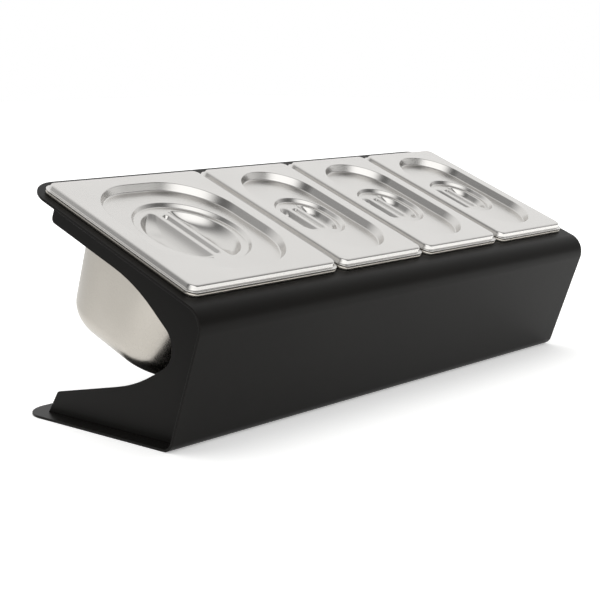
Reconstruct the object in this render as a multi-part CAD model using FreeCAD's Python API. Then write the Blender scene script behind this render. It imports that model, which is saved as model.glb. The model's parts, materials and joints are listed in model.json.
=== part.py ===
import FreeCAD, Part
import math
import os

# Counter holder for ingredients: a bent sheet stand carries a row of lift-out pans with loose lids.
# Frame: X along the row, front towards -Y, Z up, origin at the middle of the base plate's underside.
# All lengths are millimetres and all angles degrees.

# Row of pans on the deck
wide_pan_width = 162.0
narrow_pan_width = 108.0
narrow_pan_count = 3
pan_length = 176.0
pan_gap = 2.5
side_margin = 7.25
front_margin = 23.5
back_margin = 13.0

# Bent sheet stand
stand_sheet = 2.0
front_height = 104.0
front_lean = 20.0
deck_slope = 22.0
base_depth = 175.0
top_bend_radius = 17.0
bottom_bend_radius = 10.0
deck_corner_radius = 28.0
base_corner_radius = 25.0

# Gusset plates at both ends of the stand
gusset_sheet = 2.0
gusset_inset = 13.0
gusset_bend_relief = 1.0
arm_setback = 26.0
arm_depth = 18.5
arm_knee_reach = 85.0
arm_knee_radius = 135.0
throat_setback = 21.6
throat_height = 69.0
throat_radius = 19.0
foot_knee_reach = 50.0
foot_knee_radius = 150.0
foot_setback = 20.6
foot_height = 20.6
foot_slope = 11.8
foot_rake = 12.4
gusset_tip_radius = 4.0

# Pans
pan_sheet = 0.8
pan_depth = 100.0
pan_flange = 13.5
pan_rim_height = 3.0
pan_rim_radius = 1.6
pan_rim_run = 6.0
pan_outer_corner = 9.0
pan_body_corner = 55.0
pan_mouth_radius = 3.0
pan_mouth_run = 4.0
pan_draft = 5.0
pan_bottom_radius = 19.0
pan_floor_corner = 1.0
pan_clearance = 1.5
seat_gap = 0.2

# Lids: turned edge, raised top, sunk field
lid_sheet = 0.8
lid_flange = 2.4
lid_rise = 4.0
lid_rise_lean = 0.8
lid_rise_foot_radius = 0.7
lid_rise_top_radius = 2.0
lid_edge_run = 7.0
field_depth = 6.4
field_wall_lean = 2.7
field_edge_radius = 1.0
field_edge_run = 2.0
field_foot_radius = 1.2
field_floor_run = 2.5
wide_field_side_clearance = 3.3
wide_field_end_clearance = 4.0
narrow_field_side_clearance = 1.8
narrow_field_end_clearance = 2.5

# Lids: stepped finger dish with a bowl, and the grip bar pressed up across it
wide_dish_width = 96.0
wide_dish_length = 96.0
wide_lip_run = 8.0
wide_bowl_depth = 10.0
wide_bowl_lean = 5.8
wide_bowl_foot_radius = 15.0
narrow_dish_width = 57.0
narrow_dish_length = 65.0
narrow_lip_run = 6.5
narrow_bowl_depth = 6.5
narrow_bowl_lean = 3.0
narrow_bowl_foot_radius = 5.5
dish_edge_run = 2.0
dish_step_run = 2.2
dish_step_drop = 3.2
dish_step_radius = 1.2
dish_lip_radius = 1.2
bowl_floor_run = 0.5
bar_width = 14.8
bar_wall = 0.8
bar_groove_width = 6.8
bar_groove_depth = 3.0
bar_groove_lean = 1.8
bar_groove_end_margin = 7.0

# Cuts run past the faces they open by this much
overrun = 5.0

# Two fillets on one side share at most this much of it
fillet_share = 0.96

# Values worked out from the sizes above
narrow_row_width = narrow_pan_count * (pan_gap + narrow_pan_width)
body_length = 2 * side_margin + wide_pan_width + narrow_row_width
deck_depth = front_margin + pan_length + back_margin
row_center = front_margin + pan_length / 2
front_offset = front_height * math.tan(math.radians(front_lean))
lid_seat = pan_rim_height + seat_gap
lid_top = lid_seat + lid_sheet + lid_rise
field_floor = lid_top - field_depth
ledge = field_floor - dish_step_drop

UP = FreeCAD.Vector(0, 0, 1)
ALONG = FreeCAD.Vector(1, 0, 0)
deck_frame = FreeCAD.Placement(
    FreeCAD.Vector(0, -front_offset - base_depth / 2, front_height),
    FreeCAD.Rotation(ALONG, deck_slope),
)


# Flat outlines, in two coordinates

def unit(start, end):
    length = math.dist(start, end)
    return ((end[0] - start[0]) / length, (end[1] - start[1]) / length)


def turn_at(before, corner, after):
    ahead = unit(before, corner)
    beyond = unit(corner, after)
    cross = ahead[0] * beyond[1] - ahead[1] * beyond[0]
    return math.atan2(cross, ahead[0] * beyond[0] + ahead[1] * beyond[1])


def right_offset(points, radii, distance):
    # The same open line moved to the right of its direction, with its bends kept concentric.
    moved = []
    bends = []
    for index, point in enumerate(points):
        ahead = unit(point, points[index + 1]) if index + 1 < len(points) else None
        behind = unit(points[index - 1], point) if index > 0 else None
        first = behind or ahead
        second = ahead or behind
        reach = distance / (1 + first[0] * second[0] + first[1] * second[1])
        side = (first[1] + second[1], -first[0] - second[0])
        moved.append((point[0] + side[0] * reach, point[1] + side[1] * reach))
        if behind and ahead:
            turn = turn_at(points[index - 1], point, points[index + 1])
            bends.append(radii[index - 1] + math.copysign(distance, turn))
    return moved, bends


def fillet_tangents(points, radii):
    # How far each fillet runs along its sides; where two need more than a side has, they shrink.
    wanted = [0]
    for before, corner, after, radius in zip(points, points[1:], points[2:], radii):
        wanted.append(radius * math.tan(abs(turn_at(before, corner, after)) / 2))
    wanted.append(0)
    fitted = []
    for index in range(1, len(points) - 1):
        scale = 1
        for side in (index - 1, index):
            room = fillet_share * math.dist(points[side], points[side + 1])
            scale = min(scale, room / (wanted[side] + wanted[side + 1]))
        fitted.append(wanted[index] * scale)
    return fitted


def corner_arc(before, corner, after, tangent):
    # Tangent arc at one corner: its start, middle and end.
    back = unit(corner, before)
    ahead = unit(corner, after)
    half = (math.pi - abs(turn_at(before, corner, after))) / 2
    radius = tangent * math.tan(half)
    inward = radius / math.sin(half) - radius
    middle = unit((0, 0), (back[0] + ahead[0], back[1] + ahead[1]))
    return (
        (corner[0] + back[0] * tangent, corner[1] + back[1] * tangent),
        (corner[0] + middle[0] * inward, corner[1] + middle[1] * inward),
        (corner[0] + ahead[0] * tangent, corner[1] + ahead[1] * tangent),
    )


def outline_edges(points, radii, place):
    # Lines and tangent arcs along an open line with one radius for each inner corner.
    edges = []
    last = points[0]
    for index, tangent in enumerate(fillet_tangents(points, radii)):
        start, middle, end = corner_arc(points[index], points[index + 1], points[index + 2], tangent)
        edges.append(Part.makeLine(place(last), place(start)))
        edges.append(Part.Arc(place(start), place(middle), place(end)).toShape())
        last = end
    edges.append(Part.makeLine(place(last), place(points[-1])))
    return edges


def sheet_section(points, radii, thickness, place):
    # Section of a bent sheet: the given skin line, with the thickness on its right-hand side.
    other, bends = right_offset(points, radii, thickness)
    edges = outline_edges(points, radii, place) + outline_edges(other, bends, place)
    edges.append(Part.makeLine(place(points[0]), place(other[0])))
    edges.append(Part.makeLine(place(points[-1]), place(other[-1])))
    return Part.Face(Part.Wire(Part.__sortEdges__(edges)))


# Solids on rounded rectangles, centred on the local origin

def inset_place(point):
    return FreeCAD.Vector(-point[0], 0, point[1])


def rounded_wire(width, length, corner):
    half_x = width / 2
    half_y = length / 2
    straight_x = half_x - corner
    straight_y = half_y - corner
    bulge = corner * math.sqrt(2) / 2
    edges = []
    for sign_x, sign_y in ((1, 1), (-1, 1), (-1, -1), (1, -1)):
        start = FreeCAD.Vector(sign_x * half_x, sign_y * straight_y)
        middle = FreeCAD.Vector(sign_x * (straight_x + bulge), sign_y * (straight_y + bulge))
        end = FreeCAD.Vector(sign_x * straight_x, sign_y * half_y)
        edges.append(Part.Arc(start, middle, end).toShape())
    for sign in (1, -1):
        if straight_y > 0:
            side = sign * half_x
            edges.append(Part.makeLine(FreeCAD.Vector(side, -straight_y), FreeCAD.Vector(side, straight_y)))
        if straight_x > 0:
            side = sign * half_y
            edges.append(Part.makeLine(FreeCAD.Vector(-straight_x, side), FreeCAD.Vector(straight_x, side)))
    return Part.Wire(Part.__sortEdges__(edges))


def prism(width, length, corner, bottom, top):
    block = Part.Face(rounded_wire(width, length, corner)).extrude(UP * (top - bottom))
    block.translate(UP * bottom)
    return block


def frame_plate(outer, inner, bottom, top):
    # Flat plate between two rounded rectangles, each a width, length and corner.
    hole = prism(*inner, bottom - overrun, top + overrun)
    return prism(*outer, bottom, top).cut(hole)


def inset_outline(outline, inset):
    width, length, corner = outline
    return (width - 2 * inset, length - 2 * inset, corner - inset)


def ring(section, outline):
    # The section carried round a rounded rectangle: straight sides and turned corners.
    width, length, corner = outline
    pieces = []
    for quarter in range(4):
        across, side = (width, length) if quarter % 2 == 0 else (length, width)
        straight = side - 2 * corner
        start = section.copy()
        start.translate(FreeCAD.Vector(across / 2, side / 2 - corner, 0))
        axis = FreeCAD.Vector(across / 2 - corner, side / 2 - corner, 0)
        sides = [start.revolve(axis, UP, 90)]
        if straight > 0:
            sides.append(start.extrude(FreeCAD.Vector(0, -straight, 0)))
        for piece in sides:
            piece.rotate(FreeCAD.Vector(), UP, 90 * quarter)
            pieces.append(piece)
    return join(pieces)


def join(pieces):
    return pieces[0].multiFuse(pieces[1:]).removeSplitter()


def on_deck(shape, center_x):
    shape.translate(FreeCAD.Vector(center_x, row_center, 0))
    shape.Placement = deck_frame.multiply(shape.Placement)
    return shape


# Stand

def stand_place(point):
    return FreeCAD.Vector(-body_length / 2, point[0] - base_depth / 2, point[1])


def deck_point(reach, rise):
    slope = math.radians(deck_slope)
    run = reach * math.cos(slope) - rise * math.sin(slope)
    return (run - front_offset, front_height + reach * math.sin(slope) + rise * math.cos(slope))


stand_line = [(base_depth, 0), (0, 0), (-front_offset, front_height), deck_point(deck_depth, 0)]
stand_bends = [bottom_bend_radius, top_bend_radius]


def edge_at(shape, place):
    return min(shape.Edges, key=lambda edge: edge.CenterOfMass.distanceToPoint(place))


def pan_body_outline(width):
    body_width = width - 2 * pan_flange
    body_length_along = pan_length - 2 * pan_flange
    return (body_width, body_length_along, min(pan_body_corner, body_width / 2))


def make_body_shell(row):
    section = sheet_section(stand_line, stand_bends, stand_sheet, stand_place)
    shell = section.extrude(ALONG * body_length)
    deck_edge = deck_point(deck_depth, -stand_sheet / 2)
    base_edge = (base_depth, stand_sheet / 2)
    for back, radius in ((deck_edge, deck_corner_radius), (base_edge, base_corner_radius)):
        left = stand_place(back)
        right = left + ALONG * body_length
        shell = shell.makeFillet(radius, [edge_at(shell, left), edge_at(shell, right)])
    for center_x, width in row:
        cut_out = inset_outline(pan_body_outline(width), -pan_sheet - pan_clearance)
        shell = shell.cut(on_deck(prism(*cut_out, -stand_sheet - overrun, overrun), center_x))
    return shell


def make_gusset(left_face):
    inner, bends = right_offset(stand_line, stand_bends, stand_sheet)
    reach = deck_depth - arm_setback
    arm_bottom = -stand_sheet - arm_depth
    foot_back = base_depth - foot_setback
    foot_top = (foot_back - foot_rake, foot_height)
    foot_rise = (foot_top[0] - foot_knee_reach) * math.tan(math.radians(foot_slope))
    throat_front = throat_setback - throat_height * front_offset / front_height
    start = (foot_back - foot_rake / 2, stand_sheet)
    points = [
        start,
        inner[1],
        inner[2],
        deck_point(reach, -stand_sheet),
        deck_point(reach, arm_bottom),
        deck_point(arm_knee_reach, arm_bottom),
        (throat_front, throat_height),
        (foot_knee_reach, foot_height + foot_rise),
        foot_top,
        (foot_back, stand_sheet),
        start,
    ]
    corners = [bend + gusset_bend_relief for bend in bends]
    corners += [0, gusset_tip_radius, arm_knee_radius, throat_radius, foot_knee_radius, gusset_tip_radius, 0]
    edges = plain_or_round_edges(points, corners)
    plate = Part.Face(Part.Wire(edges)).extrude(ALONG * gusset_sheet)
    plate.translate(ALONG * left_face)
    return plate


def plain_or_round_edges(points, corners):
    # As outline_edges, for a line that also has sharp corners, written as radius zero.
    edges = []
    first = 0
    for index, radius in enumerate(corners + [0]):
        if radius == 0:
            run = points[first:index + 2]
            edges += outline_edges(run, corners[first:index], stand_place)
            first = index + 1
    return edges


# Pans

def make_pan(width):
    outer = (width, pan_length, pan_outer_corner)
    body = pan_body_outline(width)
    floor = pan_rim_height - pan_depth + pan_sheet
    bottom_radius = min(pan_bottom_radius, (body[2] - pan_draft - pan_floor_corner) / 2)
    floor_inset = pan_draft + 2 * bottom_radius
    rim_line = [(0, seat_gap), (0, pan_rim_height), (pan_rim_run, pan_rim_height)]
    body_line = [
        (-pan_mouth_run, pan_rim_height),
        (0, pan_rim_height),
        (pan_draft, floor),
        (floor_inset, floor),
    ]
    rim = sheet_section(rim_line, [pan_rim_radius], pan_sheet, inset_place)
    wall = sheet_section(body_line, [pan_mouth_radius, bottom_radius], pan_sheet, inset_place)
    flange_outer = inset_outline(outer, pan_rim_run)
    flange_inner = inset_outline(body, -pan_mouth_run)
    return join([
        ring(rim, outer),
        frame_plate(flange_outer, flange_inner, pan_rim_height - pan_sheet, pan_rim_height),
        ring(wall, body),
        prism(*inset_outline(body, floor_inset), floor - pan_sheet, floor),
    ])


# Lids

def dish_outline(dish):
    width, length = dish[:2]
    return (width, length, min(width, length) / 2)


def dish_line(lip_run, bowl_depth, bowl_lean, foot_radius):
    floor = ledge - bowl_depth
    wall_end = lip_run + bowl_lean
    foot_reach = foot_radius * math.tan(math.atan2(bowl_depth, bowl_lean) / 2)
    return [
        (-dish_edge_run, field_floor),
        (0, field_floor),
        (dish_step_run, ledge),
        (lip_run, ledge),
        (wall_end, floor),
        (wall_end + foot_reach + bowl_floor_run, floor),
    ]


def bar_block(points, length):
    # A straight length of the section given by points across the bar.
    corners = [FreeCAD.Vector(x, -length / 2, z) for x, z in points]
    return Part.Face(Part.makePolygon(corners + corners[:1])).extrude(FreeCAD.Vector(0, length, 0))


def make_grip_bar(dish):
    # The bar's outside, the space under its sheet, and the groove along its top.
    length, lip_run, bowl_depth, bowl_lean, foot_radius = dish[1:]
    floor = ledge - bowl_depth
    half = bar_width / 2
    groove_half = bar_groove_width / 2
    groove_floor_half = groove_half - bar_groove_lean
    groove_floor = ledge - bar_groove_depth
    left = [(-half - bowl_lean, floor), (-half, ledge), (-groove_half, ledge)]
    left.append((-groove_floor_half, groove_floor))
    skin = left + [(-x, z) for x, z in reversed(left)]
    under = right_offset(skin, [0] * (len(skin) - 2), bar_wall)[0]
    below = floor - lid_sheet - overrun
    hollow_length = length - 2 * (lip_run + bowl_lean + foot_radius)
    groove_length = length - 2 * (lip_run + bar_groove_end_margin)
    flare = bar_groove_lean / bar_groove_depth * overrun
    groove_top = [(groove_half + flare, ledge + overrun), (-groove_half - flare, ledge + overrun)]
    foot_level = floor - lid_sheet / 2
    foot_half = half + bowl_lean * (ledge - foot_level) / bowl_depth
    outside = [(-foot_half, foot_level), (-half, ledge), (half, ledge), (foot_half, foot_level)]
    block = bar_block(outside, length)
    hollow = bar_block(under + [(under[-1][0], below), (under[0][0], below)], hollow_length)
    groove = bar_block(skin[3:5] + groove_top, groove_length)
    return block, hollow, groove


def make_dish(dish):
    outline = dish_outline(dish)
    line = dish_line(*dish[2:])
    bends = [dish_step_radius, dish_step_radius, dish_lip_radius, dish[-1]]
    end = line[-1][0]
    floor = line[-1][1]
    sheet = ring(sheet_section(line, bends, lid_sheet, inset_place), outline)
    bottom = prism(*inset_outline(outline, end), floor - lid_sheet, floor)
    block, hollow, groove = make_grip_bar(dish)
    middle, middle_bends = right_offset(line, bends, lid_sheet / 2)
    edges = outline_edges(middle[1:], middle_bends[1:], inset_place)
    rim_point = (middle[-1][0], middle[1][1])
    edges.append(Part.makeLine(inset_place(middle[-1]), inset_place(rim_point)))
    edges.append(Part.makeLine(inset_place(rim_point), inset_place(middle[1])))
    inside = ring(Part.Face(Part.Wire(Part.__sortEdges__(edges))), outline)
    core = prism(*inset_outline(outline, end), middle[-1][1], middle[1][1])
    bar = block.common(join([inside, core]))
    return join([sheet, bottom, bar]).cut(hollow).cut(groove)


def make_lid(width, side_clearance, end_clearance, dish):
    outer = (width, pan_length, pan_outer_corner)
    body = pan_body_outline(width)
    field = (body[0] - 2 * side_clearance, body[1] - 2 * end_clearance, body[2] - side_clearance)
    flange_top = lid_seat + lid_sheet
    edge_line = [
        (0, flange_top),
        (lid_flange, flange_top),
        (lid_flange + lid_rise_lean, lid_top),
        (lid_edge_run, lid_top),
    ]
    field_line = [
        (-field_edge_run, lid_top),
        (0, lid_top),
        (field_wall_lean, field_floor),
        (field_wall_lean + field_floor_run, field_floor),
    ]
    edge = sheet_section(edge_line, [lid_rise_foot_radius, lid_rise_top_radius], lid_sheet, inset_place)
    wall = sheet_section(field_line, [field_edge_radius, field_foot_radius], lid_sheet, inset_place)
    top_outer = inset_outline(outer, lid_edge_run)
    top_inner = inset_outline(field, -field_edge_run)
    floor_outer = inset_outline(field, field_line[-1][0])
    floor_inner = inset_outline(dish_outline(dish), -dish_edge_run)
    return join([
        ring(edge, outer),
        frame_plate(top_outer, top_inner, lid_top - lid_sheet, lid_top),
        ring(wall, field),
        frame_plate(floor_outer, floor_inner, field_floor - lid_sheet, field_floor),
        make_dish(dish),
    ])


# Assembly

def row_places():
    places = []
    edge = side_margin - body_length / 2
    for width in [wide_pan_width] + [narrow_pan_width] * narrow_pan_count:
        places.append((edge + width / 2, width))
        edge += width + pan_gap
    return places


def make_pieces():
    row = row_places()
    pieces = {"body_shell": make_body_shell(row)}
    pieces["left_gusset"] = make_gusset(gusset_inset)
    pieces["right_gusset"] = make_gusset(body_length - gusset_inset - gusset_sheet)
    wide_dish = (
        wide_dish_width, wide_dish_length, wide_lip_run,
        wide_bowl_depth, wide_bowl_lean, wide_bowl_foot_radius,
    )
    narrow_dish = (
        narrow_dish_width, narrow_dish_length, narrow_lip_run,
        narrow_bowl_depth, narrow_bowl_lean, narrow_bowl_foot_radius,
    )
    wide_lid = make_lid(wide_pan_width, wide_field_side_clearance, wide_field_end_clearance, wide_dish)
    narrow_lid = make_lid(
        narrow_pan_width, narrow_field_side_clearance, narrow_field_end_clearance, narrow_dish)
    narrow_pan = make_pan(narrow_pan_width)
    pieces["wide_pan"] = on_deck(make_pan(wide_pan_width), row[0][0])
    pieces["wide_lid"] = on_deck(wide_lid, row[0][0])
    for number, (center_x, width) in enumerate(row[1:], 1):
        pieces[f"narrow_pan_{number}"] = on_deck(narrow_pan.copy(), center_x)
        pieces[f"narrow_lid_{number}"] = on_deck(narrow_lid.copy(), center_x)
    return pieces


os.makedirs("parts", exist_ok=True)
for node, shape in make_pieces().items():
    shape.exportStep(f"parts/{node}.step")
    print(node, len(shape.Solids), shape.isValid(), round(shape.Volume), len(shape.Faces))
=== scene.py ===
import json
import math
import bmesh
import bpy
from mathutils import Matrix, Vector


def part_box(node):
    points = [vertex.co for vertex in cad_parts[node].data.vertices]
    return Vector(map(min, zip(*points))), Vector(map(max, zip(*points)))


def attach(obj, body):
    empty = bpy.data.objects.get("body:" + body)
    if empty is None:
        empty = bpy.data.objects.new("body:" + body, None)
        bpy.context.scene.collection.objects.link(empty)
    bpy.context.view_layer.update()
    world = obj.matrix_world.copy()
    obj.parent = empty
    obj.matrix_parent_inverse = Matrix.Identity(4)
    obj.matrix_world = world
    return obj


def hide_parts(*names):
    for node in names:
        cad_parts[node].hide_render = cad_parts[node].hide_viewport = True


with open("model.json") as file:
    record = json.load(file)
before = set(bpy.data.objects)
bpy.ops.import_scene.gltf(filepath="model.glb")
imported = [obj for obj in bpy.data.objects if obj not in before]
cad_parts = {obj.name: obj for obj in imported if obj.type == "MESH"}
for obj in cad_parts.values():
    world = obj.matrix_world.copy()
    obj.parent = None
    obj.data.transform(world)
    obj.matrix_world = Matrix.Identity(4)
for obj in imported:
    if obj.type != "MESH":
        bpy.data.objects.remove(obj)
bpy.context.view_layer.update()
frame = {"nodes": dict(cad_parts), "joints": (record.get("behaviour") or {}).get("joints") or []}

mm = 0.001
hair = 0.001        # in mm: points nearer than this count as one
panNames = ["wide_pan", "narrow_pan_1", "narrow_pan_2", "narrow_pan_3"]
lidNames = ["wide_lid", "narrow_lid_1", "narrow_lid_2", "narrow_lid_3"]
print("frame loaded:", len(frame["nodes"]), "nodes")


# small helpers

def linear(hexColour):
    # sRGB hex to the linear values that colour sockets take
    channels = [int(hexColour[i:i + 2], 16) / 255 for i in (1, 3, 5)]
    return [c / 12.92 if c <= 0.04045 else ((c + 0.055) / 1.055) ** 2.4 for c in channels] + [1.0]


def addNode(tree, kind, settings=None, values=None, links=None):
    node = tree.nodes.new(kind)
    for name, value in (settings or {}).items():
        setattr(node, name, value)
    for socket, value in (values or {}).items():
        node.inputs[socket].default_value = value
    for socket, source in (links or {}).items():
        tree.links.new(source, node.inputs[socket])
    return node


def roundedLine(points, radii, stepDegrees=9):
    # a line through the points, each inner corner rounded to its own radius
    line = [Vector(points[0])]
    for index, radius in enumerate(radii):
        before, corner, after = (Vector(p) for p in points[index:index + 3])
        if radius == 0:
            line.append(corner)
            continue
        back = (before - corner).normalized()
        ahead = (after - corner).normalized()
        half = back.angle(ahead) / 2
        centre = corner + (back + ahead).normalized() * radius / math.sin(half)
        spoke = corner + back * radius / math.tan(half) - centre
        turn = math.pi - 2 * half
        if back.x * ahead.y - back.y * ahead.x > 0:
            turn = -turn
        steps = max(2, math.ceil(abs(math.degrees(turn)) / stepDegrees))
        for k in range(steps + 1):
            line.append(centre + Matrix.Rotation(turn * k / steps, 2) @ spoke)
    line.append(Vector(points[-1]))
    return line


# where the deck lies, read from the frame

stand = {
    "sheet": 2.0, "frontHeight": 104.0, "frontLean": 20.0,
    "topBend": 17.0, "bottomBend": 10.0, "deckCorner": 28.0, "baseCorner": 25.0,
    "frontMargin": 23.5, "backMargin": 13.0, "edgeRound": 0.35, "bendStep": 5, "cornerSteps": 16,
}
liftAxis = Vector(frame["joints"][0]["axis"])        # the pans lift square to the deck
deckSlope = math.atan2(-liftAxis.y, liftAxis.z)
shellLow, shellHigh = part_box("body_shell")
bodyLength = (shellHigh.x - shellLow.x) / mm
baseBack = shellHigh.y / mm
frontOffset = stand["frontHeight"] * math.tan(math.radians(stand["frontLean"]))
deckMatrix = (Matrix.Translation((0, -baseBack - frontOffset, stand["frontHeight"]))
              @ Matrix.Rotation(deckSlope, 4, "X"))


# pressed rings: one sheet section carried round a rounded rectangle

weldReach = 0.05        # in mm: closes the hair-wide straight between two half circles
seamReach = 0.002       # in mm: joins the rings where they meet
mostCornerShare = 0.4998        # of the shorter side: a hair short of a half circle
cutEdge = {"step": 30, "segments": 3, "sharpFrom": 50}        # rounding of the sheet's cut edges, in degrees


def pressedRingTree():
    tree = bpy.data.node_groups.new("pressedRing", "GeometryNodeTree")
    tree.interface.new_socket("Section", in_out="INPUT", socket_type="NodeSocketGeometry")
    for name in ("Width", "Length", "Corner"):
        tree.interface.new_socket(name, in_out="INPUT", socket_type="NodeSocketFloat")
    tree.interface.new_socket("Corner Steps", in_out="INPUT", socket_type="NodeSocketInt")
    tree.interface.new_socket("Finish", in_out="INPUT", socket_type="NodeSocketMaterial")
    tree.interface.new_socket("Ring", in_out="OUTPUT", socket_type="NodeSocketGeometry")
    given = addNode(tree, "NodeGroupInput").outputs
    outline = addNode(tree, "GeometryNodeCurvePrimitiveQuadrilateral", {"mode": "RECTANGLE"},
                      links={"Width": given["Width"], "Height": given["Length"]})
    rounded = addNode(tree, "GeometryNodeFilletCurve", {"mode": "POLY"},
                      links={"Curve": outline.outputs[0], "Radius": given["Corner"],
                             "Count": given["Corner Steps"]})
    chain = addNode(tree, "GeometryNodeCurveToMesh", links={"Curve": rounded.outputs[0]})
    welded = addNode(tree, "GeometryNodeMergeByDistance", values={"Distance": weldReach},
                     links={"Geometry": chain.outputs[0]})
    path = addNode(tree, "GeometryNodeMeshToCurve", links={"Mesh": welded.outputs[0]})
    section = addNode(tree, "GeometryNodeMeshToCurve", links={"Mesh": given["Section"]})
    swept = addNode(tree, "GeometryNodeCurveToMesh",
                    links={"Curve": path.outputs[0], "Profile Curve": section.outputs[0]})
    outward = addNode(tree, "GeometryNodeFlipFaces", links={"Mesh": swept.outputs[0]})
    real = addNode(tree, "GeometryNodeRealizeInstances", links={"Geometry": outward.outputs[0]})
    coated = addNode(tree, "GeometryNodeSetMaterial",
                     links={"Geometry": real.outputs[0], "Material": given["Finish"]})
    addNode(tree, "NodeGroupOutput", links={"Ring": coated.outputs[0]})
    return tree


ringTree = pressedRingTree()
ringInputs = {item.name: item.identifier for item in ringTree.interface.items_tree
              if item.in_out == "INPUT"}


def pressedRing(bm, section, outline, finish, cornerSteps=20):
    width, length, corner = outline
    corner = min(corner, mostCornerShare * min(width, length))
    line = bpy.data.meshes.new("section")
    links = [(k, k + 1) for k in range(len(section) - 1)]
    line.from_pydata([(-p.x, -p.y, 0) for p in section], links, [])
    holder = bpy.data.objects.new("section", line)
    bpy.context.scene.collection.objects.link(holder)
    modifier = holder.modifiers.new("ring", "NODES")
    modifier.node_group = ringTree
    for name, value in (("Width", width), ("Length", length), ("Corner", corner),
                        ("Corner Steps", cornerSteps), ("Finish", finish)):
        modifier[ringInputs[name]] = value
    shown = bpy.context.evaluated_depsgraph_get()
    mesh = bpy.data.meshes.new_from_object(holder.evaluated_get(shown))
    bpy.data.objects.remove(holder)
    bm.from_mesh(mesh)
    bpy.data.meshes.remove(mesh)
    bpy.data.meshes.remove(line)


def inset(outline, step):
    width, length, corner = outline
    return (width - 2 * step, length - 2 * step, corner - step)


def underSide(line, sheet):
    # the far side of the sheet, walked back from the line's end
    back = []
    for index, point in enumerate(line):
        near = line[max(index - 1, 0):index + 2]
        sides = [Vector((b.y - a.y, a.x - b.x)).normalized() for a, b in zip(near, near[1:])]
        middle = sum(sides, Vector((0, 0))).normalized()
        back.append(point + middle * sheet / middle.dot(sides[0]))
    return back[::-1]


def pressedStep(bm, line, sheet, outline, finish, cornerSteps=20):
    pressedRing(bm, line, outline, finish, cornerSteps)
    pressedRing(bm, underSide(line, sheet), outline, finish, cornerSteps)


def pressedRim(bm, line, sheet, edgeRound, outline, finish, cornerSteps=20):
    # both skins and the cut edge that joins them
    back = underSide(line, sheet)
    radii = [0] * (len(back) + len(line) - 2)
    radii[len(back) - 2] = edgeRound
    radii[len(back) - 1] = edgeRound
    whole = roundedLine(back + line, radii, stepDegrees=cutEdge["step"])
    pressedRing(bm, whole, outline, finish, cornerSteps)


def fillEdges(bm, edges, normal, facing=1):
    made = bmesh.ops.triangle_fill(bm, use_beauty=True, use_dissolve=False, edges=edges, normal=normal)
    for face in made["geom"]:
        if isinstance(face, bmesh.types.BMFace) and face.normal.dot(normal) * facing < 0:
            face.normal_flip()


def fillFlat(bm, height, facing):
    # closes what is open at one height: between two rings, or inside one
    level = [e for e in bm.edges if e.is_boundary
             and all(abs(v.co.z - height) < hair for v in e.verts)]
    fillEdges(bm, level, Vector((0, 0, 1)), facing)


def pieceName(node):
    words = node.split("_")
    return words[0] + "".join(word.capitalize() for word in words[1:])


def addPiece(name, bm, place, finish, body, node, sheet=0, edgeRound=0):
    bmesh.ops.remove_doubles(bm, verts=bm.verts[:], dist=seamReach)
    bmesh.ops.transform(bm, matrix=Matrix.Scale(mm, 4) @ place, verts=bm.verts[:])
    mesh = bpy.data.meshes.new(name)
    bm.to_mesh(mesh)
    bm.free()
    mesh.materials.clear()
    mesh.materials.append(finish)
    mesh.shade_smooth()
    piece = bpy.data.objects.new(name, mesh)
    bpy.context.scene.collection.objects.link(piece)
    if sheet:
        solid = piece.modifiers.new("sheet", "SOLIDIFY")
        solid.thickness = sheet * mm
        solid.offset = -1
        solid.use_even_offset = True
        rounding = piece.modifiers.new("edges", "BEVEL")
        rounding.width = edgeRound * mm
        rounding.segments = cutEdge["segments"]
        rounding.limit_method = "ANGLE"
        rounding.angle_limit = math.radians(cutEdge["sharpFrom"])
        piece.modifiers.new("shading", "WEIGHTED_NORMAL")
    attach(piece, body)
    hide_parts(node)


# materials, with pattern sizes in mm

coat = {
    "dark": "#131211", "light": "#181715", "roughLow": 0.34, "roughHigh": 0.44, "specular": 0.09,
    "grain": 0.9,        # real grain is nearer 0.3 mm, drawn coarser so that it shows
    "grainDetail": 3.0, "grainRoughness": 0.6, "cloud": 70, "cloudDetail": 2.0,
    "peel": 0.25, "peelDepth": 0.02,
}


def powderCoat():
    # baked powder coat on steel: near-black plastic skin, fine orange-peel grain, broad soft reflections
    material = bpy.data.materials.new("satinBlackPowderCoat")
    material.use_nodes = True
    tree = material.node_tree
    shader = tree.nodes["Principled BSDF"]
    place = addNode(tree, "ShaderNodeTexCoord").outputs["Object"]
    grain = addNode(tree, "ShaderNodeTexNoise",
                    values={"Scale": 1 / (coat["grain"] * mm), "Detail": coat["grainDetail"],
                            "Roughness": coat["grainRoughness"]}, links={"Vector": place})
    cloud = addNode(tree, "ShaderNodeTexNoise",
                    values={"Scale": 1 / (coat["cloud"] * mm), "Detail": coat["cloudDetail"]},
                    links={"Vector": place})
    tint = addNode(tree, "ShaderNodeMix", {"data_type": "RGBA"},
                   {"A": linear(coat["dark"]), "B": linear(coat["light"])},
                   {"Factor": cloud.outputs["Fac"]})
    gloss = addNode(tree, "ShaderNodeMapRange",
                    values={"To Min": coat["roughLow"], "To Max": coat["roughHigh"]},
                    links={"Value": grain.outputs["Fac"]})
    peel = addNode(tree, "ShaderNodeBump",
                   values={"Strength": coat["peel"], "Distance": coat["peelDepth"] * mm},
                   links={"Height": grain.outputs["Fac"]})
    tree.links.new(tint.outputs["Result"], shader.inputs["Base Color"])
    tree.links.new(gloss.outputs["Result"], shader.inputs["Roughness"])
    tree.links.new(peel.outputs["Normal"], shader.inputs["Normal"])
    shader.inputs["Specular IOR Level"].default_value = coat["specular"]
    return material


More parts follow.
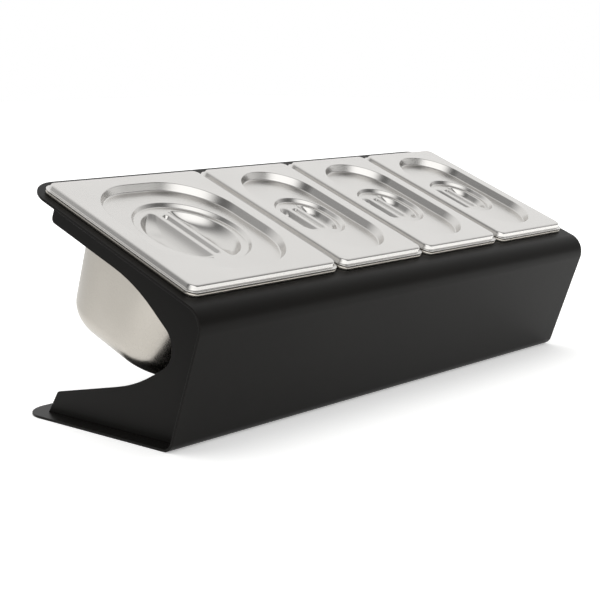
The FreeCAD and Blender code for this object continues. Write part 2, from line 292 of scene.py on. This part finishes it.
steel = {
    "grainWidth": 0.5,        # real scratches are far finer, drawn coarser so that they show
    "grainLength": 40, "scratchDetail": 4.0, "scratchRoughness": 0.65,
    "cloud": 45, "cloudDetail": 3.0, "relief": 0.06, "reliefDepth": 0.02,
    "lid": {"dark": "#d4d2cf", "light": "#dcdad7", "roughLow": 0.20, "roughHigh": 0.28},
    # the pan colours are darker than the lid's: painted shade for the dark parts the pans mirror under the
    # deck
    "pan": {"dark": "#b4afa7", "light": "#c4bfb7", "roughLow": 0.22, "roughHigh": 0.32},
}


def satinSteel(name, look):
    # stainless sheet with a fine satin grain from the polishing belt; bends are smooth and catch the light
    material = bpy.data.materials.new(name)
    material.use_nodes = True
    tree = material.node_tree
    shader = tree.nodes["Principled BSDF"]
    along = 1 / (steel["grainLength"] * mm)
    across = 1 / (steel["grainWidth"] * mm)
    place = addNode(tree, "ShaderNodeTexCoord").outputs["Object"]
    lengths = addNode(tree, "ShaderNodeMapping", values={"Scale": (along, across, across)},
                      links={"Vector": place})
    scratch = addNode(tree, "ShaderNodeTexNoise",
                      values={"Scale": 1.0, "Detail": steel["scratchDetail"],
                              "Roughness": steel["scratchRoughness"]},
                      links={"Vector": lengths.outputs["Vector"]})
    cloud = addNode(tree, "ShaderNodeTexNoise",
                    values={"Scale": 1 / (steel["cloud"] * mm), "Detail": steel["cloudDetail"]},
                    links={"Vector": place})
    tint = addNode(tree, "ShaderNodeMix", {"data_type": "RGBA"},
                   {"A": linear(look["dark"]), "B": linear(look["light"])},
                   {"Factor": cloud.outputs["Fac"]})
    gloss = addNode(tree, "ShaderNodeMapRange",
                    values={"To Min": look["roughLow"], "To Max": look["roughHigh"]},
                    links={"Value": scratch.outputs["Fac"]})
    relief = addNode(tree, "ShaderNodeBump",
                     values={"Strength": steel["relief"], "Distance": steel["reliefDepth"] * mm},
                     links={"Height": scratch.outputs["Fac"]})
    tree.links.new(tint.outputs["Result"], shader.inputs["Base Color"])
    tree.links.new(gloss.outputs["Result"], shader.inputs["Roughness"])
    tree.links.new(relief.outputs["Normal"], shader.inputs["Normal"])
    shader.inputs["Metallic"].default_value = 1.0
    return material


blackCoat = powderCoat()
lidSteel = satinSteel("satinStainlessLid", steel["lid"])
# pan steel: the lid's stainless with darker colours, as painted shade
shadedPanSteel = satinSteel("drawnStainlessPanPaintedShade", steel["pan"])
print("materials ready")


# stand: one bent sheet, with a cut-out in the deck for each pan

pan = {
    "length": 176.0, "sheet": 0.8, "depth": 100.0, "flange": 13.5,
    "rimHeight": 3.0, "rimRound": 1.6, "rimRun": 6.0, "seatGap": 0.2,
    "outerCorner": 9.0, "bodyCorner": 55.0, "mouthRound": 3.0, "mouthRun": 4.0,
    "draft": 5.0, "bottomRound": 19.0, "floorCorner": 1.0, "cutOutGap": 1.5, "edgeRound": 0.15,
    "wallStep": 6, "bodySteps": 28,
}
deckReach = stand["frontMargin"] + pan["length"] + stand["backMargin"]


def panBody(width):
    bodyWidth = width - 2 * pan["flange"]
    return (bodyWidth, pan["length"] - 2 * pan["flange"], min(pan["bodyCorner"], bodyWidth / 2))


def rowPlace(node):
    low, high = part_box(node)
    centre = (low.x + high.x) / 2 / mm
    rowCentre = stand["frontMargin"] + pan["length"] / 2
    return deckMatrix @ Matrix.Translation((centre, rowCentre, 0)), (high.x - low.x) / mm


def arcPoints(centre, radius, start, end, steps):
    turns = [start + (end - start) * k / steps for k in range(steps + 1)]
    return [(centre[0] + radius * math.cos(t), centre[1] + radius * math.sin(t)) for t in turns]


def distinct(points):
    return [p for p, after in zip(points, points[1:] + points[:1]) if math.dist(p, after) > hair]


def roundedOutline(width, length, corner, steps=20):
    x, y = width / 2 - corner, length / 2 - corner
    points = []
    for quarter, (signX, signY) in enumerate(((1, 1), (-1, 1), (-1, -1), (1, -1))):
        start = quarter * math.pi / 2
        points += arcPoints((signX * x, signY * y), corner, start, start + math.pi / 2, steps)
    return distinct(points)


def standProfile():
    foot = (2 * baseBack, 0)
    corner = (-frontOffset, stand["frontHeight"])
    back = (corner[0] + deckReach * math.cos(deckSlope), corner[1] + deckReach * math.sin(deckSlope))
    return [foot, (0, 0), corner, back], [stand["bottomBend"], stand["topBend"]]


def backCorners(half, back, corner):
    # the rounded back corners of base plate and deck, from the right end to the left
    steps = stand["cornerSteps"]
    right = arcPoints((half - corner, back - corner), corner, 0, math.pi / 2, steps)
    left = arcPoints((corner - half, back - corner), corner, math.pi / 2, math.pi, steps)
    return right + left


def makeStandShell():
    bm = bmesh.new()
    line = roundedLine(*standProfile(), stepDegrees=stand["bendStep"])
    half = bodyLength / 2
    front = Matrix.Translation((0, -baseBack, 0))
    strip = [[bm.verts.new(front @ Vector((x, p.x, p.y))) for x in (-half, half)]
             for p in line[1:-1]]
    for low, high in zip(strip, strip[1:]):
        bm.faces.new((low[0], low[1], high[1], high[0]))
    baseEnds = backCorners(half, baseBack, stand["baseCorner"])
    baseVerts = [bm.verts.new((x, y, 0)) for x, y in baseEnds]
    bm.faces.new([strip[0][0]] + baseVerts[::-1] + [strip[0][1]])
    deckEnds = backCorners(half, deckReach, stand["deckCorner"])
    deckVerts = [bm.verts.new(deckMatrix @ Vector((x, y, 0))) for x, y in deckEnds]
    loops = [strip[-1] + deckVerts]
    for node in panNames:
        place, width = rowPlace(node)
        cutOut = inset(panBody(width), -pan["sheet"] - pan["cutOutGap"])
        loops.append([bm.verts.new(place @ Vector((x, y, 0))) for x, y in roundedOutline(*cutOut)])
    edges = []
    for loop in loops:
        for a, b in zip(loop, loop[1:] + loop[:1]):
            edges.append(bm.edges.get((a, b)) or bm.edges.new((a, b)))
    fillEdges(bm, edges, liftAxis)
    addPiece("standShell", bm, Matrix(), blackCoat, "stand", "body_shell",
             stand["sheet"], stand["edgeRound"])


gusset = {
    "sheet": 2.0, "inset": 13.0, "bendRelief": 1.0, "armSetback": 26.0, "armDepth": 18.5,
    "armKnee": 85.0, "armKneeRound": 135.0,
    "throatSetback": 21.6, "throatHeight": 69.0, "throatRound": 19.0,
    "footKnee": 50.0, "footKneeRound": 150.0, "footSetback": 20.6, "footHeight": 20.6, "footSlope": 11.8,
    "footRake": 12.4, "tipRound": 4.0, "edgeRound": 0.35, "bendStep": 4,
}


def deckPoint(reach, rise):
    run = reach * math.cos(deckSlope) - rise * math.sin(deckSlope)
    lift = reach * math.sin(deckSlope) + rise * math.cos(deckSlope)
    return (run - frontOffset, stand["frontHeight"] + lift)


def gussetOutline():
    g = gusset
    sheet = stand["sheet"]
    lean = math.radians(stand["frontLean"])
    reach = deckReach - g["armSetback"]
    armBottom = -sheet - g["armDepth"]
    footBack = 2 * baseBack - g["footSetback"]
    footTop = (footBack - g["footRake"], g["footHeight"])
    footRise = (footTop[0] - g["footKnee"]) * math.tan(math.radians(g["footSlope"]))
    lowCorner = (sheet * (1 - math.sin(lean)) / math.cos(lean), sheet)
    bendHalf = (math.pi / 2 + deckSlope - lean) / 2        # half the angle between front panel and deck
    highReach = sheet / math.tan(bendHalf)
    start = (footBack - g["footRake"] / 2, sheet)
    points = [start, lowCorner, deckPoint(highReach, -sheet), deckPoint(reach, -sheet),
              deckPoint(reach, armBottom), deckPoint(g["armKnee"], armBottom),
              (g["throatSetback"] - g["throatHeight"] * math.tan(lean), g["throatHeight"]),
              (g["footKnee"], g["footHeight"] + footRise), footTop, (footBack, sheet), start]
    radii = [stand["bottomBend"] - sheet + g["bendRelief"], stand["topBend"] - sheet + g["bendRelief"], 0,
             g["tipRound"], g["armKneeRound"], g["throatRound"], g["footKneeRound"], g["tipRound"], 0]
    return roundedLine(points, radii, stepDegrees=g["bendStep"])[:-1]


def makeGusset(node, side):
    bm = bmesh.new()
    x = side * (bodyLength / 2 - gusset["inset"])
    verts = [bm.verts.new((x, p.x - baseBack, p.y)) for p in gussetOutline()]
    face = bm.faces.new(verts)
    face.normal_update()
    if face.normal.x * side < 0:
        face.normal_flip()
    addPiece(pieceName(node), bm, Matrix(), blackCoat, "stand", node,
             gusset["sheet"], gusset["edgeRound"])


makeStandShell()
makeGusset("left_gusset", -1)
makeGusset("right_gusset", 1)
print("stand ready")


# pans: drawn steel, hung in the deck by a turned-down rim

def makePan(node):
    p = pan
    place, width = rowPlace(node)
    bm = bmesh.new()
    body = panBody(width)
    floor = p["rimHeight"] - p["depth"] + p["sheet"]
    bottomRound = min(p["bottomRound"], (body[2] - p["draft"] - p["floorCorner"]) / 2)
    floorInset = p["draft"] + 2 * bottomRound
    outer = (width, p["length"], p["outerCorner"])
    rim = roundedLine([(0, p["seatGap"]), (0, p["rimHeight"]), (p["rimRun"], p["rimHeight"])],
                      [p["rimRound"]])
    wall = roundedLine([(-p["mouthRun"], p["rimHeight"]), (0, p["rimHeight"]), (p["draft"], floor),
                        (floorInset, floor)], [p["mouthRound"], bottomRound], stepDegrees=p["wallStep"])
    pressedRim(bm, rim, p["sheet"], p["edgeRound"], outer, shadedPanSteel)
    pressedStep(bm, wall, p["sheet"], body, shadedPanSteel, p["bodySteps"])
    for height in (p["rimHeight"], floor):
        fillFlat(bm, height, 1)
        fillFlat(bm, height - p["sheet"], -1)
    addPiece(pieceName(node), bm, place, shadedPanSteel, node, node)


for node in panNames:
    makePan(node)
print("pans ready")


# lids: raised top, sunk field, and a stepped finger dish with a bar across it

lid = {
    "sheet": 0.8, "flange": 2.4, "rise": 4.0, "riseLean": 0.8, "riseFoot": 0.7, "riseTop": 2.0,
    "edgeRun": 7.0, "fieldDepth": 6.4, "fieldLean": 2.7, "fieldEdge": 1.0, "fieldEdgeRun": 2.0,
    "fieldFoot": 1.2, "fieldFloorRun": 2.5, "stepEdgeRun": 2.0, "stepRun": 2.2, "stepDrop": 3.2,
    "stepRound": 1.2, "ledgeRun": 4.0, "lipRound": 1.2, "cornerRound": 4.0, "cornerGrowth": 0.6,
    "cornerShare": 0.4, "barWidth": 14.8, "grooveWidth": 6.8, "grooveMargin": 7.0,
    "grooveRound": 1.0, "grooveEdgeRun": 1.2, "edgeRound": 0.15,
    "bowlStep": 5, "bodySteps": 28, "grooveSteps": 8, "pocketSteps": 14,
    "wide": {
        "sideGap": 3.3, "endGap": 4.0, "dishWidth": 96.0, "dishLength": 96.0, "lipRun": 8.0,
        "bowlDepth": 10.0, "bowlLean": 5.8, "bowlFoot": 15.0, "bowlRun": 14.8,
        "grooveDepth": 3.0, "grooveLean": 1.8,
    },
    "narrow": {
        "sideGap": 1.8, "endGap": 2.5, "dishWidth": 57.0, "dishLength": 65.0, "lipRun": 6.5,
        "bowlDepth": 6.5, "bowlLean": 3.0, "bowlFoot": 5.5, "bowlRun": 6.7,
        "grooveDepth": 1.8, "grooveLean": 1.6,
    },
}


def pocketLoop(chord, radius, shift, corner):
    # half a dish beside the bar: an arc, closed by the bar's edge, with rounded corners
    steps = lid["pocketSteps"]
    x = chord + corner
    y = math.sqrt((radius - corner) ** 2 - x ** 2)
    meet = math.atan2(y, x)
    points = arcPoints((x, -shift - y), corner, math.pi, 2 * math.pi - meet, steps)
    points += arcPoints((0, -shift), radius, -meet, 0, 2 * steps)[1:]
    points += arcPoints((0, shift), radius, 0, meet, 2 * steps)
    points += arcPoints((x, shift + y), corner, meet, math.pi, steps)[1:]
    return distinct(points)


def pressPocket(bm, sizes, ledge, side):
    radius = sizes["dishWidth"] / 2 - sizes["lipRun"]
    shift = (sizes["dishLength"] - sizes["dishWidth"]) / 2
    floor = ledge - sizes["bowlDepth"]
    line = roundedLine([(-lid["lipRound"], ledge), (0, ledge), (sizes["bowlLean"], floor),
                        (sizes["bowlRun"], floor)], [lid["lipRound"], sizes["bowlFoot"]],
                       stepDegrees=lid["bowlStep"])
    for skin in (line, underSide(line, lid["sheet"])):
        rows = []
        for p in skin:
            chord = lid["barWidth"] / 2 + p.x
            reach = radius - p.x
            corner = min(lid["cornerRound"] + lid["cornerGrowth"] * p.x,
                         lid["cornerShare"] * (reach - chord))
            loop = pocketLoop(chord, reach, shift, corner)
            if side < 0:
                loop = [(-x, y) for x, y in reversed(loop)]
            rows.append([bm.verts.new((x, y, p.y)) for x, y in loop])
        for first, second in zip(rows, rows[1:]):
            count = len(first)
            for k in range(count):
                n = (k + 1) % count
                bm.faces.new((first[k], first[n], second[n], second[k]))


def makeLid(node):
    sizes = lid[node.split("_")[0]]
    place, width = rowPlace(node)
    body = panBody(width)
    outer = (width, pan["length"], pan["outerCorner"])
    field = (body[0] - 2 * sizes["sideGap"], body[1] - 2 * sizes["endGap"],
             body[2] - sizes["sideGap"])
    dish = (sizes["dishWidth"], sizes["dishLength"], sizes["dishWidth"] / 2)
    flangeTop = pan["rimHeight"] + pan["seatGap"] + lid["sheet"]
    top = flangeTop + lid["rise"]
    fieldFloor = top - lid["fieldDepth"]
    ledge = fieldFloor - lid["stepDrop"]
    bowlFloor = ledge - sizes["bowlDepth"]
    grooveFloor = ledge - sizes["grooveDepth"]
    bm = bmesh.new()
    edge = roundedLine([(0, flangeTop), (lid["flange"], flangeTop), (lid["flange"] + lid["riseLean"], top),
                        (lid["edgeRun"], top)], [lid["riseFoot"], lid["riseTop"]])
    wall = roundedLine([(-lid["fieldEdgeRun"], top), (0, top), (lid["fieldLean"], fieldFloor),
                        (lid["fieldLean"] + lid["fieldFloorRun"], fieldFloor)],
                       [lid["fieldEdge"], lid["fieldFoot"]])
    step = roundedLine([(-lid["stepEdgeRun"], fieldFloor), (0, fieldFloor), (lid["stepRun"], ledge),
                        (lid["ledgeRun"], ledge)], [lid["stepRound"], lid["stepRound"]])
    pressedRim(bm, edge, lid["sheet"], lid["edgeRound"], outer, lidSteel)
    pressedStep(bm, wall, lid["sheet"], field, lidSteel, lid["bodySteps"])
    pressedStep(bm, step, lid["sheet"], dish, lidSteel, lid["bodySteps"])
    for side in (-1, 1):
        pressPocket(bm, sizes, ledge, side)
    groove = roundedLine([(-lid["grooveEdgeRun"], ledge), (0, ledge), (sizes["grooveLean"], grooveFloor),
                          (sizes["grooveLean"] + lid["grooveEdgeRun"], grooveFloor)],
                         [lid["grooveRound"], lid["grooveRound"]])
    grooveLength = sizes["dishLength"] - 2 * sizes["lipRun"] - 2 * lid["grooveMargin"]
    grooveOutline = (lid["grooveWidth"], grooveLength, lid["grooveWidth"] / 2)
    pressedStep(bm, groove, lid["sheet"], grooveOutline, lidSteel, lid["grooveSteps"])
    for height in (top, fieldFloor, ledge, bowlFloor, grooveFloor):
        fillFlat(bm, height, 1)
        fillFlat(bm, height - lid["sheet"], -1)
    addPiece(pieceName(node), bm, place, lidSteel, node, node)


for node in lidNames:
    makeLid(node)
print("lids ready")


# floor, light and camera

studio = {
    "paper": "#f4f4f3", "sky": "#ffffff",
    "floorSize": 14.0, "floorGlow": 0.35, "clearFrom": 0.25, "clearTo": 0.80, "clearGlow": 0.60,
    "dimSide": (-0.75, 0.66, 0.0), "dimFrom": 0.15, "dimTo": 0.60,
    "keySide": (0.52, 0.75, 0.41), "keyFrom": -0.25, "keyTo": 0.80, "keyLevel": 1.0,
    "fillSide": (-0.52, -0.82, 0.24), "fillFrom": 0.60, "fillTo": 0.95, "fillLevel": 1.5,
    "darkLevel": 0.12,
    "lampPlace": (-0.3, -0.2, 2.2), "lampTarget": (0, 0, 0.1), "lampSize": 2.4, "lampPower": 22,
}


def paleFloor():
    # matt white paper: shaded close to the part, glowing to plain white further off
    # in the steel's reflections it stops glowing at the back left
    material = bpy.data.materials.new("whitePaperSweep")
    material.use_nodes = True
    tree = material.node_tree
    tree.nodes.clear()
    path = addNode(tree, "ShaderNodeLightPath").outputs
    place = addNode(tree, "ShaderNodeTexCoord").outputs["Object"]
    away = addNode(tree, "ShaderNodeVectorMath", {"operation": "LENGTH"}, links={0: place})
    clear = addNode(tree, "ShaderNodeMapRange", {"interpolation_type": "SMOOTHSTEP"},
                    {"From Min": studio["clearFrom"], "From Max": studio["clearTo"],
                     "To Min": studio["floorGlow"], "To Max": studio["clearGlow"]},
                    {"Value": away.outputs["Value"]})
    behind = addNode(tree, "ShaderNodeVectorMath", {"operation": "DOT_PRODUCT"},
                     {1: studio["dimSide"]}, {0: place})
    mirrored = addNode(tree, "ShaderNodeMapRange", {"interpolation_type": "SMOOTHSTEP"},
                       {"From Min": studio["dimFrom"], "From Max": studio["dimTo"],
                        "To Min": 1.0, "To Max": 0.0}, {"Value": behind.outputs["Value"]})
    bent = addNode(tree, "ShaderNodeMath", {"operation": "MAXIMUM"},
                   links={0: path["Is Glossy Ray"], 1: path["Is Transmission Ray"]})
    shown = addNode(tree, "ShaderNodeMath", {"operation": "MULTIPLY"},
                    links={0: bent.outputs[0], 1: mirrored.outputs["Result"]})
    seen = addNode(tree, "ShaderNodeMath", {"operation": "MAXIMUM"},
                   links={0: path["Is Camera Ray"], 1: shown.outputs[0]})
    level = addNode(tree, "ShaderNodeMath", {"operation": "MULTIPLY"},
                    links={0: seen.outputs[0], 1: clear.outputs["Result"]})
    paper = addNode(tree, "ShaderNodeBsdfDiffuse", values={"Color": linear(studio["paper"])})
    glow = addNode(tree, "ShaderNodeEmission", links={"Strength": level.outputs[0]})
    both = addNode(tree, "ShaderNodeAddShader", links={0: paper.outputs[0], 1: glow.outputs[0]})
    addNode(tree, "ShaderNodeOutputMaterial", links={"Surface": both.outputs[0]})
    half = studio["floorSize"] / 2
    mesh = bpy.data.meshes.new("floor")
    corners = [(-half, -half, 0), (half, -half, 0), (half, half, 0), (-half, half, 0)]
    mesh.from_pydata(corners, [], [(0, 1, 2, 3)])
    mesh.materials.append(material)
    floor = bpy.data.objects.new("floor", mesh)
    bpy.context.scene.collection.objects.link(floor)


def softBox():
    light = bpy.data.lights.new("overheadSoftBox", "AREA")
    light.shape = "RECTANGLE"
    light.size = studio["lampSize"]
    light.size_y = studio["lampSize"]
    light.energy = studio["lampPower"]
    lamp = bpy.data.objects.new("overheadSoftBox", light)
    lamp.location = studio["lampPlace"]
    lamp.visible_glossy = False        # steel mirrors the graded world instead
    aim = Vector(studio["lampTarget"]) - Vector(studio["lampPlace"])
    lamp.rotation_euler = aim.to_track_quat("-Z", "Y").to_euler()
    bpy.context.scene.collection.objects.link(lamp)


def studioWorld():
    # bright behind to the right and at the front left, dim elsewhere; plain white to the camera
    world = bpy.data.worlds.new("paleStudio")
    world.use_nodes = True
    bpy.context.scene.world = world
    tree = world.node_tree
    tree.nodes.clear()
    path = addNode(tree, "ShaderNodeLightPath").outputs
    way = addNode(tree, "ShaderNodeTexCoord").outputs["Generated"]
    lit = path["Is Camera Ray"]
    for side in ("key", "fill"):
        facing = addNode(tree, "ShaderNodeVectorMath", {"operation": "DOT_PRODUCT"},
                         {1: studio[side + "Side"]}, {0: way})
        graded = addNode(tree, "ShaderNodeMapRange", {"interpolation_type": "SMOOTHSTEP"},
                         {"From Min": studio[side + "From"], "From Max": studio[side + "To"],
                          "To Min": studio["darkLevel"], "To Max": studio[side + "Level"]},
                         {"Value": facing.outputs["Value"]})
        lit = addNode(tree, "ShaderNodeMath", {"operation": "MAXIMUM"},
                      links={0: lit, 1: graded.outputs["Result"]}).outputs[0]
    sky = addNode(tree, "ShaderNodeBackground", values={"Color": linear(studio["sky"])},
                  links={"Strength": lit})
    addNode(tree, "ShaderNodeOutputWorld", links={"Surface": sky.outputs[0]})


shot = {
    "azimuth": -48.22, "elevation": 9.95, "roll": -0.24, "lens": 81.9, "sensor": 36.0,
    "place": (-0.89222, -0.78296, 0.27584),
}


def photoCamera():
    azimuth, elevation, roll = (math.radians(shot[k]) for k in ("azimuth", "elevation", "roll"))
    back = Vector((math.sin(azimuth) * math.cos(elevation), -math.cos(azimuth) * math.cos(elevation),
                   math.sin(elevation)))
    right = Vector((0, 0, 1)).cross(back).normalized()
    up = back.cross(right)
    rolledRight = right * math.cos(roll) + up * math.sin(roll)
    rolledUp = up * math.cos(roll) - right * math.sin(roll)
    camera = bpy.data.cameras.new("photoCamera")
    camera.lens = shot["lens"]
    camera.sensor_width = shot["sensor"]
    viewer = bpy.data.objects.new("photoCamera", camera)
    turn = Matrix((rolledRight, rolledUp, back)).transposed().to_4x4()
    viewer.matrix_world = Matrix.Translation(shot["place"]) @ turn
    bpy.context.scene.collection.objects.link(viewer)
    bpy.context.scene.camera = viewer


paleFloor()
softBox()
studioWorld()
photoCamera()
bpy.context.scene.view_settings.view_transform = "Standard"
print("studio ready")
